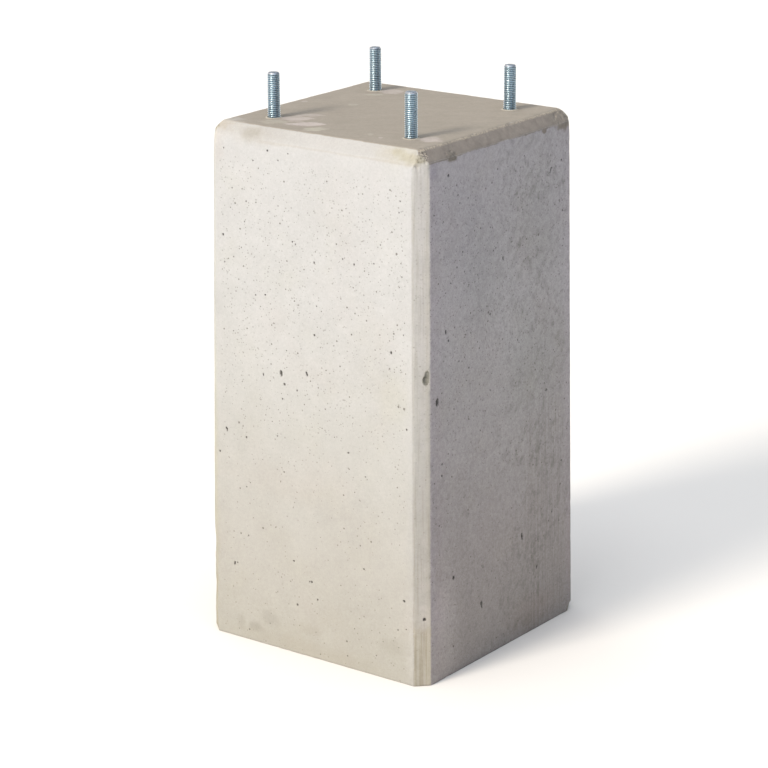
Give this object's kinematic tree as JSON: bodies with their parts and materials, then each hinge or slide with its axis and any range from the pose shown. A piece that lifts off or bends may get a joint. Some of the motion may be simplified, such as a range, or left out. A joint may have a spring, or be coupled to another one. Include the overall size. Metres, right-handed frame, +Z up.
{
  "type": "precast concrete column base block",
  "caption": "Tall square concrete column base with chamfered edges, a bevelled top and threaded rods standing in the top.",
  "frame": {"origin": "middle of the underside, on the surface the block stands on", "axes": "+Z up the block, +X and -Y square to the two side faces that the picture shows"},
  "size_m": [0.259, 0.259, 0.542],
  "materials": {
    "concrete": "matt, smooth cast concrete with air holes",
    "zinc_steel": "bright blue-passivated zinc plate"
  },
  "bodies": {
    "root": {"concrete_block": "concrete", "threaded_rod_front_left": "zinc_steel", "threaded_rod_front_right": "zinc_steel", "threaded_rod_back_left": "zinc_steel", "threaded_rod_back_right": "zinc_steel"}
  },
  "joints": []
}
